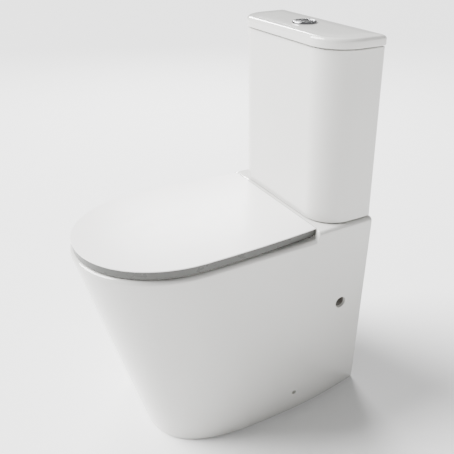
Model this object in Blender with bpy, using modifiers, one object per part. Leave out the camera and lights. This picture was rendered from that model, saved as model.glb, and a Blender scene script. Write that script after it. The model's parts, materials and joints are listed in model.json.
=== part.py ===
"""Close coupled, back-to-wall toilet built as its real pieces.

Frame: metres, +Z up, floor at z = 0, the user sits facing -Y and the wall is the plane y = WALL_Y.
The origin is on the floor under the centre of the footprint. Distances called "out" are measured
from the wall towards the front, the way a fitter measures them.
"""
import math

import bmesh
import bpy
from mathutils import Matrix, Vector

# --- driving dimensions -------------------------------------------------------------------------
PROJECTION = 0.577          # wall to the tip of the pan
WALL_Y = PROJECTION / 2
GAP = 0.0003                # air between pieces that touch
CLEAR = 0.01                # how far a cutting shape runs past the face it opens

# pan: the rim carries the seat, and the deck behind it stands higher and carries the cistern
RIM_Z = 0.422
DECK_Z = 0.440
DECK_FRONT = 0.1275
SWEEP = (0.1300, 0.1320, 0.1340, 0.1360, 0.1380)     # the deck's shoulders come down here
RECESS_HALF = 0.1675          # flat between the shoulders, where the seat's hinges stand
CHINA = 0.011               # thickness of the fired china walls
DECK_THICK = 0.014
PAN_NOSE = 0.200            # length of the rounded front at the rim
PAN_POWER = 0.965           # 1 is an ellipse, less is squarer
PAN_HALF = 0.180
FOOT_FRONT = 0.4735
FOOT_NOSE = 0.283
FOOT_POWER = 0.60
FOOT_HALF = 0.179
FOOT_REAR_HALF = 0.160
SHOULDER = 0.009            # radius along the top edges of the pan
BOWL_HALF = 0.125
BOWL_FRONT = 0.540
BOWL_REAR = 0.240
BOWL_TOP_Z = RIM_Z - 0.012  # where the bowl's curve meets the straight mouth
BOWL_BOTTOM_Z = 0.118
BOWL_WALL = 0.010
SUMP = (0.028, 0.278, 0.345)              # half width, rear and front of the bowl at its bottom
DUCT_Z = 0.368              # flush duct from under the cistern to the back of the bowl
DUCT_R = 0.021
DUCT_END = 0.262
ACCESS_HOLE = (0.062, 0.2455, 0.0135)     # out, height, radius
FIXING_HOLE = (0.179, 0.047, 0.0050)

# outlet, standard 102 mm spigot
SPIGOT_Z = 0.185
SPIGOT_R = 0.051
SPIGOT_BORE = 0.0425
TRAP_R = 0.034
TRAP_WALL = 0.009

# cistern
TANK_Z = DECK_Z + 0.0025
TANK_TOP_Z = 0.7895
TANK_HALF = 0.1727
TANK_DEPTH = 0.1225
TANK_CORNER = 0.0665
TANK_WALL = 0.009
TANK_FLOOR_Z = TANK_Z + 0.011
COVER_TOP_Z = 0.8128
COVER_OVERHANG = 0.003      # at the sides; less in front, where the raised seat lid leans
COVER_FRONT = 0.0035
COVER_THICK = 0.010
SHADOW_GAP = 0.002

# seat, lid and hinge
LID_FRONT = 0.5737
LID_REAR = 0.1316
LID_HALF = 0.1755
LID_REAR_HALF = 0.1647
LID_TAPER = 0.235           # length over which the sides widen
LID_NOSE = 0.197
LID_POWER = 0.965
LID_TOP_Z = RIM_Z + 0.020
LID_WALL = 0.0035
LID_SKIRT_Z = RIM_Z + 0.006
SEAT_Z = (RIM_Z + 0.0035, RIM_Z + 0.0150)
SEAT_REAR = 0.154
AXIS_OUT = LID_REAR + 0.010
AXIS_Z = LID_TOP_Z - 0.0085
HINGE_X = 0.0775            # half of the 155 mm seat hole spacing
PIN_R = 0.003
KNUCKLE_R = 0.0046

# flush and fill fittings
VALVE_OUT = 0.064
BUTTON_OUT = VALVE_OUT
BUTTON_R = 0.0188
BUTTON_TOP = COVER_TOP_Z + 0.0036
BEZEL_FLOOR = COVER_TOP_Z - 0.0180
VALVE_TOP_Z = 0.525         # top of the valve's cage
LEVER_Z = COVER_TOP_Z - 0.104
LEVER_HALF = 0.0018
ROD_X = 0.0111
ROD_SHIFT = 0.0075          # the two push rods pass in front of and behind the stem
ROD_TIP_Z = LEVER_Z + 0.0060
STEM_TOP_Z = LEVER_Z - 0.022
INLET_X = -0.115
INLET_OUT = 0.060
INLET_END_Z = TANK_Z - 0.0525
ARM_X = INLET_X + 0.0245    # pivot of the float arm
ARM_Z = LEVER_Z - 0.012
FLOAT_Z = (ARM_Z - 0.208, ARM_Z - 0.128)
LINK_X = INLET_X + 0.0440
BOLT_X = 0.0725             # half of the 145 mm tank bolt spacing
BOLT_OUT = 0.064

FINISHES = {                # base colour, roughness, metallic
    "china": ((0.86, 0.855, 0.84), 0.08, 0.0),
    "seat": ((0.84, 0.835, 0.82), 0.22, 0.0),
    "chrome": ((0.72, 0.72, 0.73), 0.12, 1.0),
    "steel": ((0.56, 0.56, 0.56), 0.30, 1.0),
    "plastic": ((0.78, 0.78, 0.77), 0.38, 0.0),
    "blue_plastic": ((0.10, 0.22, 0.42), 0.40, 0.0),
    "rubber": ((0.045, 0.045, 0.045), 0.70, 0.0),
    "soft_white": ((0.75, 0.75, 0.74), 0.60, 0.0),
}


# --- scene and object helpers -------------------------------------------------------------------
def clear_scene():
    for item in list(bpy.data.objects):
        bpy.data.objects.remove(item, do_unlink=True)


def new_collection(name):
    collection = bpy.data.collections.new(name)
    bpy.context.scene.collection.children.link(collection)
    return collection


def make_material(node, finish):
    """A Principled material of the node's own, in one of the named finishes."""
    colour, roughness, metallic = FINISHES[finish]
    material = bpy.data.materials.new(f"{node}_{finish}")
    material.use_nodes = True
    shader = material.node_tree.nodes["Principled BSDF"]
    shader.inputs["Base Color"].default_value = (*colour, 1.0)
    shader.inputs["Roughness"].default_value = roughness
    shader.inputs["Metallic"].default_value = metallic
    return material


def at(x, out, z):
    """A point in the part's frame from its distance out from the wall."""
    return Vector((x, WALL_Y - out, z))


def add_piece(name, mesh, finish, origin=(0, 0, 0)):
    """Link a finished sub-part, with its origin moved to the given point of the world."""
    origin = Vector(origin)
    mesh.transform(Matrix.Translation(-origin))
    piece = bpy.data.objects.new(name, mesh)
    piece.location = origin
    PARTS.objects.link(piece)
    mesh.materials.append(make_material(name, finish))
    mesh.shade_smooth()
    mesh.set_sharp_from_angle(angle=math.radians(40))
    return piece


def add_guide(name, mesh):
    """Link a shape that only cuts or joins other shapes."""
    guide = bpy.data.objects.new(name, mesh)
    guide.hide_render = True
    guide.display_type = "WIRE"
    CUTTERS.objects.link(guide)
    return guide


def combine(piece, operation, *meshes):
    """Cut, join or intersect a piece with meshes given in world coordinates."""
    for mesh in meshes:
        guide = add_guide(f"{piece.name}_{operation.lower()}", mesh)
        step = piece.modifiers.new(operation.title(), "BOOLEAN")
        step.operation = operation
        step.solver = "EXACT"
        step.object = guide
    return piece


def to_mesh(bm, name="shape"):
    bmesh.ops.recalc_face_normals(bm, faces=bm.faces)
    mesh = bpy.data.meshes.new(name)
    bm.to_mesh(mesh)
    bm.free()
    return mesh


# --- shapes -------------------------------------------------------------------------------------
def loft(rings, ruled_top=False):
    """A closed solid through rings of equally many points, with a flat face at both ends.

    The sides are triangles, because a twisted four-sided face has no one plane to cut along.
    A ruled top spans straight across from each point to its mirror image instead.
    """
    bm = bmesh.new()
    loops = [[bm.verts.new(point) for point in ring] for ring in rings]
    for low, high in zip(loops, loops[1:]):
        for i, vert in enumerate(low):
            j = (i + 1) % len(low)
            bm.faces.new((vert, low[j], high[j]))
            bm.faces.new((vert, high[j], high[i]))
    bm.faces.new(reversed(loops[0]))
    top = loops[-1]
    if not ruled_top:
        bm.faces.new(top)
        return to_mesh(bm)
    for i in range(len(top) // 2):
        near, far = top[i:i + 2], top[len(top) - 2 - i:len(top) - i]
        bm.faces.new((near[0], near[1], far[1]))
        if near[1] is not far[0]:
            bm.faces.new((near[1], far[0], far[1]))
    return to_mesh(bm)


def box(low, high):
    """A block between two corners given as (x, out, z)."""
    a, b = at(*low), at(*high)
    bm = bmesh.new()
    size = [abs(q - p) for p, q in zip(a, b)]
    place = Matrix.Translation((a + b) / 2) @ Matrix.Diagonal((*size, 1))
    bmesh.ops.create_cube(bm, size=1, matrix=place)
    return to_mesh(bm)


def cylinder(centre, radius, length, axis="Z", segments=20):
    turn = {"X": Matrix.Rotation(math.pi / 2, 4, "Y"),
            "Y": Matrix.Rotation(-math.pi / 2, 4, "X"),
            "Z": Matrix.Identity(4)}[axis]
    bm = bmesh.new()
    bmesh.ops.create_cone(bm, cap_ends=True, segments=segments, radius1=radius,
                          radius2=radius, depth=length,
                          matrix=Matrix.Translation(centre) @ turn)
    return to_mesh(bm)


def turned(name, finish, profile, centre, segments=20, ring=False):
    """A turned piece about a vertical axis: radius and height pairs, down the outer side."""
    bm = bmesh.new()
    verts = [bm.verts.new((radius, 0, height)) for radius, height in profile]
    for a, b in zip(verts, verts[1:]):
        bm.edges.new((a, b))
    if ring:
        bm.edges.new((verts[-1], verts[0]))
    mesh = bpy.data.meshes.new(name)
    bm.to_mesh(mesh)
    bm.free()
    piece = add_piece(name, mesh, finish)
    piece.location = centre
    screw = piece.modifiers.new("Turn", "SCREW")
    screw.steps = segments
    screw.render_steps = segments
    screw.use_merge_vertices = True
    screw.merge_threshold = 0.00001
    return piece


def make_nut(name, finish, centre, top, height, bore, across, sides=6):
    """A nut with flat sides and a round bore, hanging down from its top face."""
    middle = centre + Vector((0, 0, top - height / 2))
    nut = add_piece(name, cylinder(middle, across, height, segments=sides), finish)
    return combine(nut, "DIFFERENCE", cylinder(middle, bore, height * 2, segments=20))


def tube(points, radius, bevel_resolution=3, steps=4):
    """The mesh of a capped round tube along a smooth path through (x, out, z) points."""
    curve = bpy.data.curves.new("path", "CURVE")
    curve.dimensions = "3D"
    curve.bevel_depth = radius
    curve.bevel_resolution = bevel_resolution
    curve.resolution_u = steps
    curve.use_fill_caps = True
    spline = curve.splines.new("BEZIER")
    spline.bezier_points.add(len(points) - 1)
    for knot, point in zip(spline.bezier_points, points):
        knot.co = at(*point)
        knot.handle_left_type = knot.handle_right_type = "AUTO"
    holder = bpy.data.objects.new("path", curve)
    CUTTERS.objects.link(holder)
    bpy.context.view_layer.update()
    mesh = bpy.data.meshes.new_from_object(holder.evaluated_get(bpy.context.evaluated_depsgraph_get()))
    bpy.data.objects.remove(holder)
    bm = bmesh.new()
    bm.from_mesh(mesh)
    bmesh.ops.remove_doubles(bm, verts=bm.verts, dist=0.00001)
    bpy.data.meshes.remove(mesh)
    return to_mesh(bm)


# --- outlines, all counter-clockwise seen from above --------------------------------------------
def mirrored(right):
    """Close a right-hand half outline, listed from rear to front, with its mirror image."""
    right = [(x, out) for x, out in right]
    left = [(-x, out) for x, out in reversed(right) if x > 1e-6]
    return right + left


def nose(half, front, length, steps, power=1.0):
    """The rounded front from the side to the middle: a quarter ellipse."""
    turn = [math.pi / 2 * i / steps for i in range(steps + 1)]
    return [(half * max(math.cos(a), 0.0) ** power, front - length * (1 - math.sin(a) ** power))
            for a in turn]


def ring_at(outline, z):
    """Place an outline of (x, out) points at a height, counter-clockwise from above."""
    return [at(x, out, z) for x, out in reversed(outline)]


def pan_outline(height, inset=0.0, rear=0.0):
    """The skirt's outline: nearly straight sides and a rounded front, squarer at the floor."""
    up = min(height / RIM_Z, 1.0)
    half = FOOT_HALF + (PAN_HALF - FOOT_HALF) * up - inset
    rear_half = FOOT_REAR_HALF + (PAN_HALF - FOOT_REAR_HALF) * up - inset
    tip = (PROJECTION - FOOT_FRONT) / (1 - SHOULDER / RIM_Z)
    front = FOOT_FRONT + tip * up - inset
    length = FOOT_NOSE + (PAN_NOSE - FOOT_NOSE) * up - inset * 0.6
    power = FOOT_POWER + (PAN_POWER - FOOT_POWER) * up
    side = front - length
    ahead = [SWEEP[-1] + (side - SWEEP[-1]) * step for step in (0.35, 0.7)]
    right = []
    for out in [rear, DECK_FRONT / 2, *SWEEP, *ahead]:
        swell = math.sin((out - rear) / (side - rear) * math.pi / 2)
        right.append((rear_half + (half - rear_half) * swell, out))
    return mirrored(right + nose(half, front, length, 13, power))


def pan_side(height, out):
    """Half width of the skirt at a height, at a distance from the wall."""
    points = pan_outline(height)
    for (x1, out1), (x2, out2) in zip(points, points[1:]):
        if out1 <= out < out2:
            return x1 + (x2 - x1) * (out - out1) / (out2 - out1)
    return points[0][0]


def pan_top(out):
    """Height of the pan's top edge: level under the cistern, then a sweep down to the rim."""
    along = min(max((out - SWEEP[0]) / (SWEEP[-1] - SWEEP[0]), 0.0), 1.0)
    return DECK_Z + (RIM_Z - DECK_Z) * along * along * (3 - 2 * along)


def skirt_ring(share=1.0, inset=0.0, drop=0.0):
    """A ring of the skirt at a share of its height, or at a drop below its swept top edge."""
    return [at(x, out, pan_top(out) * share - drop)
            for x, out in reversed(pan_outline(RIM_Z * share - drop, inset))]


def bowl_outline(half, rear, front, steps=15):
    """An egg: two half ellipses that meet at the widest place, a little behind the middle."""
    middle = rear + (front - rear) * 0.46
    outline = []
    for i in range(2 * steps):
        a = math.pi * i / steps
        reach = (front - middle) if math.cos(a) > 0 else (middle - rear)
        outline.append((half * math.sin(a), middle + reach * math.cos(a)))
    return outline


def bowl_rings(grow, lowest, top):
    """Sections of the bowl from its sump to above the rim; grow makes the wall's outer side."""
    levels = 8
    sump_half, sump_rear, sump_front = SUMP
    rings = []
    for i in range(levels):
        down = 1 - i / (levels - 1)
        half = BOWL_HALF - (BOWL_HALF - sump_half) * down ** 1.7 + grow
        front = BOWL_FRONT - (BOWL_FRONT - sump_front) * down ** 1.5 + grow
        rear = BOWL_REAR + (sump_rear - BOWL_REAR) * down ** 1.6 - grow
        rings.append(ring_at(bowl_outline(half, rear, front), BOWL_TOP_Z - (BOWL_TOP_Z - lowest) * down))
    for height, flare in top:
        rings.append(ring_at(bowl_outline(BOWL_HALF + grow + flare, BOWL_REAR - grow - flare,
                                          BOWL_FRONT + grow + flare), height))
    return rings


def tank_outline(half, depth, corner, rear=0.0, rear_corner=0.006, steps=6):
    """The cistern seen from above: flat back and front, large rounded front corners."""
    corner = min(corner, depth - rear - rear_corner - 0.001)
    right = []
    for i in range(3):
        a = math.pi / 4 * i
        right.append((half - rear_corner + rear_corner * math.sin(a),
                      rear + rear_corner - rear_corner * math.cos(a)))
    for i in range(steps + 1):
        a = math.pi / 2 * i / steps
        right.append((half - corner + corner * math.cos(a), depth - corner + corner * math.sin(a)))
    return mirrored(right)


def lid_outline(inset=0.0, rear=LID_REAR, steps=12):
    """The D of the lid: straight rear edge, sides that widen to the front, elliptical front."""
    half = LID_HALF - inset
    rear_half = LID_REAR_HALF - inset
    right = []
    for i in range(5):
        along = i / 5
        place = LID_REAR + LID_TAPER * along
        x = rear_half + (half - rear_half) * (1 - (1 - along) ** 2)
        right.append((x, max(place, rear)) if i else (x, rear))
    right.append((half, LID_REAR + LID_TAPER))
    return mirrored(right + nose(half, LID_FRONT - inset, LID_NOSE - inset * 0.6, steps, LID_POWER))


def rounded_edge(radius, steps=3):
    """Inset and drop pairs that go round a quarter circle from a side up onto a top face."""
    turn = [math.pi / 2 * i / steps for i in range(steps + 1)]
    return [(radius * (1 - math.cos(a)), radius * (1 - math.sin(a))) for a in turn]


# --- china --------------------------------------------------------------------------------------
def make_pan():
    rings = [ring_at(pan_outline(0.0, 0.002), 0.0)]
    rings += [skirt_ring(share) for share in (0.01, 0.33, 0.66)]
    rings += [skirt_ring(1.0, inset, drop) for inset, drop in rounded_edge(SHOULDER, 4)]
    pan = add_piece("pan", loft(rings, ruled_top=True), "china")
    combine(pan, "DIFFERENCE", box((-RECESS_HALF, DECK_FRONT, RIM_Z),
                                   (RECESS_HALF, SWEEP[-1] - 0.0001, DECK_Z + CLEAR)))

    past_wall = -0.03
    void = [ring_at(pan_outline(z, CHINA, past_wall), z) for z in (-CLEAR, 0.14, 0.28)]
    void.append(ring_at(pan_outline(RIM_Z, CHINA, past_wall), RIM_Z - DECK_THICK))
    side = PAN_HALF - CHINA - SHOULDER * 0.4
    combine(pan, "DIFFERENCE", loft(void),
            box((-side, past_wall, RIM_Z - DECK_THICK - CLEAR),
                (side, DECK_FRONT - CHINA, DECK_Z - DECK_THICK)))

    trap = [(0, 0.330, 0.175), (0, 0.290, 0.157), (0, 0.245, 0.170), (0, 0.205, 0.222),
            (0, 0.162, 0.247), (0, 0.122, 0.224), (0, 0.092, 0.1955), (0, 0.052, SPIGOT_Z)]
    shell = bowl_rings(BOWL_WALL, BOWL_BOTTOM_Z - BOWL_WALL, [(RIM_Z - 0.004, 0.0)])
    duct_middle = at(0, (VALVE_OUT + DUCT_END) / 2, DUCT_Z)
    duct_length = DUCT_END - VALVE_OUT
    combine(pan, "UNION", loft(shell), tube(trap, TRAP_R + TRAP_WALL),
            cylinder(at(0, 0.0600, SPIGOT_Z), SPIGOT_R, 0.080, "Y", 26),
            cylinder(at(0, VALVE_OUT, DECK_Z - 0.023), 0.056, 0.030, segments=24),
            cylinder(at(0, VALVE_OUT, DUCT_Z + 0.0035), 0.036, 0.077, segments=24),
            cylinder(duct_middle, DUCT_R + BOWL_WALL, duct_length - 0.02, "Y", 20))

    mouth = [(RIM_Z - drop, inset) for inset, drop in rounded_edge(0.007)]
    mouth.append((RIM_Z + CLEAR, 0.0085))
    combine(pan, "DIFFERENCE", loft(bowl_rings(0.0, BOWL_BOTTOM_Z, mouth)),
            tube(trap, TRAP_R),
            cylinder(at(0, 0.03, SPIGOT_Z), SPIGOT_BORE, 0.070, "Y", 24),
            cylinder(duct_middle, DUCT_R, duct_length, "Y", 16),
            cylinder(at(0, VALVE_OUT, DUCT_Z + 0.027), 0.0265, 0.100, segments=20),
            cylinder(at(0, VALVE_OUT, DECK_Z), 0.0465, 0.044, segments=24),
            cylinder(at(INLET_X, INLET_OUT, DECK_Z), 0.024, 0.06, segments=20))
    for side in (-1, 1):
        combine(pan, "DIFFERENCE",
                cylinder(at(side * BOLT_X, BOLT_OUT, DECK_Z), 0.0060, 0.06, segments=14),
                cylinder(at(side * HINGE_X, AXIS_OUT, RIM_Z), 0.0075, 0.06, segments=14))
        for out, height, radius in (ACCESS_HOLE, FIXING_HOLE):
            wall = pan_side(height, out)
            combine(pan, "DIFFERENCE", cylinder(at(side * wall, out, height), radius, 0.06, "X", 20))
    return pan


def make_tank():
    rings = []
    for inset, drop in reversed(rounded_edge(0.004, 2)):
        rings.append(ring_at(tank_outline(TANK_HALF - inset, TANK_DEPTH - inset,
                                          TANK_CORNER - inset, inset), TANK_Z + drop))
    for inset, drop in rounded_edge(0.002, 1):
        rings.append(ring_at(tank_outline(TANK_HALF - inset, TANK_DEPTH - inset,
                                          TANK_CORNER - inset, inset), TANK_TOP_Z - drop))
    tank = add_piece("cistern_tank", loft(rings), "china")
    wall = TANK_WALL
    inside = [ring_at(tank_outline(TANK_HALF - wall, TANK_DEPTH - wall, TANK_CORNER - wall, wall), z)
              for z in (TANK_FLOOR_Z, TANK_TOP_Z + CLEAR)]
    combine(tank, "DIFFERENCE", loft(inside),
            cylinder(at(0, VALVE_OUT, TANK_Z), 0.0310, 0.05, segments=24),
            cylinder(at(INLET_X, INLET_OUT, TANK_Z), 0.0115, 0.05, segments=16))
    for side in (-1, 1):
        combine(tank, "DIFFERENCE",
                cylinder(at(side * BOLT_X, BOLT_OUT, TANK_Z), 0.0050, 0.05, segments=14))
    return tank


def cover_ring(inset, z):
    return ring_at(tank_outline(TANK_HALF + COVER_OVERHANG - inset, TANK_DEPTH + COVER_FRONT - inset,
                                TANK_CORNER + COVER_FRONT - inset, inset), z)


def make_cover():
    """The cistern's lid: a crowned slab on a plinth that leaves a shadow gap over the tank."""
    seat_z = TANK_TOP_Z + GAP
    slab_z = seat_z + SHADOW_GAP
    plinth = COVER_OVERHANG + 0.0020
    crown = 0.0012
    rings = [cover_ring(plinth, seat_z), cover_ring(plinth, slab_z), cover_ring(0.001, slab_z + 0.0004),
             cover_ring(0.0, slab_z + 0.002)]
    for inset, drop in rounded_edge(0.008, 4):
        rings.append(cover_ring(inset, COVER_TOP_Z - crown - drop * 0.9))
    rings.append(cover_ring(0.030, COVER_TOP_Z))
    cover = add_piece("cistern_lid", loft(rings), "china")
    pocket = [cover_ring(0.022, seat_z - CLEAR), cover_ring(0.024, COVER_TOP_Z - COVER_THICK)]
    combine(cover, "DIFFERENCE", loft(pocket),
            cylinder(at(0, BUTTON_OUT, COVER_TOP_Z), 0.0228, 0.05, segments=32))
    return cover


# --- tank to pan fixings ------------------------------------------------------------------------
def make_bolts():
    for side, hand in ((-1, "L"), (1, "R")):
        x = side * BOLT_X
        floor = TANK_FLOOR_Z + GAP
        washer_top = floor + 0.0045
        end = DECK_Z - 0.055
        turned(f"cistern_bolt_{hand}", "steel",
               [(0, washer_top + 0.0053), (0.0055, washer_top + 0.0045),
                (0.0075, washer_top + GAP), (0.0038, washer_top + GAP), (0.0038, end + 0.002),
                (0.0030, end), (0, end)], at(x, BOLT_OUT, 0), 16)
        turned(f"bolt_seal_{hand}", "rubber",
               [(0.0042, washer_top), (0.0090, washer_top), (0.0105, floor), (0.0042, floor)],
               at(x, BOLT_OUT, 0), 16, ring=True)
        under = DECK_Z - DECK_THICK - GAP
        turned(f"bolt_washer_{hand}", "steel",
               [(0.0042, under), (0.0115, under), (0.0115, under - 0.0016), (0.0042, under - 0.0016)],
               at(x, BOLT_OUT, 0), 16, ring=True)
        make_wing_nut(f"wing_nut_{hand}", x, under - 0.0016 - GAP)


def make_wing_nut(name, x, top):
    nut = turned(name, "plastic",
                 [(0.0042, top), (0.0080, top), (0.0068, top - 0.010), (0.0042, top - 0.010)],
                 at(x, BOLT_OUT, 0), 16, ring=True)
    for side in (-1, 1):
        inner, outer = sorted((x + side * 0.0055, x + side * 0.0150))
        combine(nut, "UNION", box((inner, BOLT_OUT - 0.0014, top - 0.016),
                                  (outer, BOLT_OUT + 0.0014, top - 0.003)))
    return nut


# --- flush valve --------------------------------------------------------------------------------
def make_flush_valve():
    centre = at(0, VALVE_OUT, 0)
    floor = TANK_FLOOR_Z + GAP
    turned("flush_valve_gasket", "rubber",
           [(0.0300, floor + 0.003), (0.0390, floor + 0.003), (0.0390, floor), (0.0300, floor)],
           centre, 24, ring=True)
    base = floor + 0.003 + GAP
    shank_end = TANK_Z - 0.019
    body = turned("flush_valve_body", "plastic",
                  [(0.0310, VALVE_TOP_Z), (0.0340, VALVE_TOP_Z), (0.0340, base + 0.004),
                   (0.0385, base + 0.003), (0.0385, base), (0.0285, base), (0.0285, shank_end),
                   (0.0245, shank_end),
                   (0.0245, base + 0.0035), (0.0310, base + 0.0035)], centre, 28, ring=True)
    for half_x, half_out in ((0.05, 0.016), (0.016, 0.05)):
        combine(body, "DIFFERENCE",
                box((-half_x, VALVE_OUT - half_out, base + 0.010),
                    (half_x, VALVE_OUT + half_out, VALVE_TOP_Z - 0.016)))
    tower_low, tower_top = VALVE_TOP_Z - 0.008, LEVER_Z + 0.0045
    for side in (-1, 1):
        out = VALVE_OUT + side * 0.0185
        combine(body, "UNION",
                box((-0.006, out - 0.0025, tower_low + 0.004), (0.006, out + 0.0025, tower_top)))
    combine(body, "UNION", cylinder(at(0, VALVE_OUT, tower_low + 0.004), 0.0325, 0.008, segments=28))
    combine(body, "DIFFERENCE",
            cylinder(at(0, VALVE_OUT, tower_low), 0.0115, 0.05, segments=20),
            cylinder(at(0, VALVE_OUT, LEVER_Z), 0.0023, 0.06, "Y", 12))

    make_nut("flush_valve_nut", "plastic", centre, TANK_Z - GAP, 0.0085, 0.0290, 0.0400, 12)
    turned("coupling_gasket", "rubber",
           [(0.0290, TANK_Z - 0.0093), (0.0400, TANK_Z - 0.0093), (0.0455, TANK_Z - 0.0155),
            (0.0455, TANK_Z - 0.0242), (0.0290, TANK_Z - 0.0242)], centre, 28, ring=True)

    seat = base + 0.0035 + GAP
    turned("flush_seal", "rubber",
           [(0.0120, seat + 0.003), (0.0290, seat + 0.003), (0.0290, seat), (0.0120, seat)],
           centre, 24, ring=True)
    disc = seat + 0.003 + GAP
    stem = turned("flush_stem", "blue_plastic",
                  [(0.0086, STEM_TOP_Z), (0.0105, STEM_TOP_Z), (0.0105, disc + 0.006),
                   (0.0270, disc + 0.003), (0.0270, disc), (0.0115, disc), (0.0115, seat - 0.004),
                   (0.0086, seat - 0.004)], centre, 20, ring=True)
    bar, hook = STEM_TOP_Z - 0.0015, LEVER_Z - 0.0042
    combine(stem, "UNION",
            box((-0.0265, VALVE_OUT - 0.0025, bar), (0.0265, VALVE_OUT + 0.0025, bar + 0.0050)),
            box((0.0240, VALVE_OUT - 0.0105, bar), (0.0265, VALVE_OUT + 0.0025, hook)),
            box((0.0190, VALVE_OUT - 0.0105, hook - 0.0030), (0.0265, VALVE_OUT - 0.0045, hook)))
    add_piece("lever_pin", cylinder(at(0, VALVE_OUT, LEVER_Z), 0.0020, 0.0440, "Y", 12), "steel")
    make_lever("full_flush_lever", -1)
    make_lever("half_flush_lever", 1)


def make_lever(name, hand):
    """A rocker on the lever pin: a pad under its push rod and a finger under the stem's hook."""
    out = VALVE_OUT + hand * ROD_SHIFT
    rise, fall = math.radians(15.7), math.radians(-26.6)
    pad = Vector((hand * 0.0125 * math.cos(rise), 0.0125 * math.sin(rise)))
    finger = Vector((-hand * 0.0224 * math.cos(fall), 0.0224 * math.sin(fall)))
    hub = cylinder(at(0, out, LEVER_Z), 0.0048, 2 * LEVER_HALF, "Y", 16)
    lever = add_piece(name, hub, "plastic", at(0, out, LEVER_Z))
    for tip in (pad, finger):
        along = tip.normalized()
        across = Vector((-along.y, along.x)) * 0.0016
        corners = [tip + across, across, -across, tip - across]
        rings = [[at(p.x, out + y, LEVER_Z + p.y) for p in corners]
                 for y in (-LEVER_HALF, LEVER_HALF)]
        combine(lever, "UNION", loft(rings))
    combine(lever, "DIFFERENCE", cylinder(at(0, out, LEVER_Z), 0.0023, 0.02, "Y", 12))
    return lever


# --- fill valve ---------------------------------------------------------------------------------
def make_fill_valve():
    centre = at(INLET_X, INLET_OUT, 0)
    floor = TANK_FLOOR_Z + GAP
    turned("inlet_gasket", "rubber",
           [(0.0108, floor + 0.003), (0.0170, floor + 0.003), (0.0170, floor), (0.0108, floor)],
           centre, 18, ring=True)
    base = floor + 0.003 + GAP
    top = ARM_Z + 0.012
    body = turned("fill_valve_body", "plastic",
                  [(0, top), (0.0150, top), (0.0180, top - 0.003), (0.0180, top - 0.038),
                   (0.0115, top - 0.044), (0.0115, base + 0.012), (0.0165, base + 0.010),
                   (0.0165, base), (0.0104, base), (0.0104, INLET_END_Z), (0.0060, INLET_END_Z),
                   (0.0060, top - 0.050), (0, top - 0.050)], centre)
    pivot = at(ARM_X, INLET_OUT, ARM_Z)
    for side in (-1, 1):
        near, far = sorted((INLET_OUT + side * 0.0035, INLET_OUT + side * 0.0060))
        combine(body, "UNION", box((INLET_X + 0.0120, near, ARM_Z - 0.018),
                                   (ARM_X + 0.0035, far, ARM_Z + 0.006)))
    combine(body, "DIFFERENCE", cylinder(pivot, 0.0018, 0.03, "Y", 12))
    make_nut("inlet_nut", "plastic", centre, TANK_Z - GAP, 0.0100, 0.0109, 0.0190)
    low, high = FLOAT_Z
    cup = turned("float_cup", "blue_plastic",
                 [(0.0122, high), (0.0270, high), (0.0300, high - 0.006), (0.0300, low + 0.006),
                  (0.0270, low), (0.0240, low), (0.0240, high - 0.008), (0.0122, high - 0.008)],
                 centre, 24, ring=True)
    link_low, link_top = high - 0.013, ARM_Z - 0.0035
    combine(cup, "UNION",
            box((INLET_X + 0.026, INLET_OUT - 0.004, high - 0.015),
                (LINK_X + 0.003, INLET_OUT + 0.004, high - 0.007)),
            cylinder(at(LINK_X, INLET_OUT, (link_low + link_top) / 2), 0.0018, link_top - link_low,
                     segments=10))
    lever = add_piece("float_arm", cylinder(pivot, 0.0042, 0.0060, "Y", 16), "plastic", pivot)
    combine(lever, "UNION", box((ARM_X, INLET_OUT - 0.0030, ARM_Z - 0.0030),
                                (LINK_X + 0.0040, INLET_OUT + 0.0030, ARM_Z + 0.0010)))
    combine(lever, "DIFFERENCE", cylinder(pivot, 0.0018, 0.03, "Y", 12))
    add_piece("float_arm_pin", cylinder(pivot, 0.0015, 0.0150, "Y", 12), "steel")


# --- dual flush button --------------------------------------------------------------------------
def make_button():
    centre = at(0, BUTTON_OUT, 0)
    top = COVER_TOP_Z
    bezel = turned("button_bezel", "chrome",
                   [(0.0192, top + 0.0030), (0.0205, top + 0.0040), (0.0230, top + 0.0037),
                    (0.0247, top + 0.0022), (0.0252, top + GAP), (0.0222, top + GAP),
                    (0.0222, top - 0.0260), (0.0140, top - 0.0260), (0.0140, BEZEL_FLOOR - 0.0025),
                    (0, BEZEL_FLOOR - 0.0025), (0, BEZEL_FLOOR), (0.0192, BEZEL_FLOOR)],
                   centre, 28, ring=True)
    for hand in (-1, 1):
        combine(bezel, "DIFFERENCE",
                cylinder(at(hand * ROD_X, BUTTON_OUT + hand * ROD_SHIFT, BEZEL_FLOOR), 0.0034, 0.03,
                         segments=14))
    under = COVER_TOP_Z - COVER_THICK - GAP
    make_nut("bezel_nut", "plastic", centre, under, 0.0070, 0.0229, 0.0300, 12)
    make_push("full_flush_button", -1, -0.0006)
    make_push("half_flush_button", 1, 0.0006)


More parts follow.
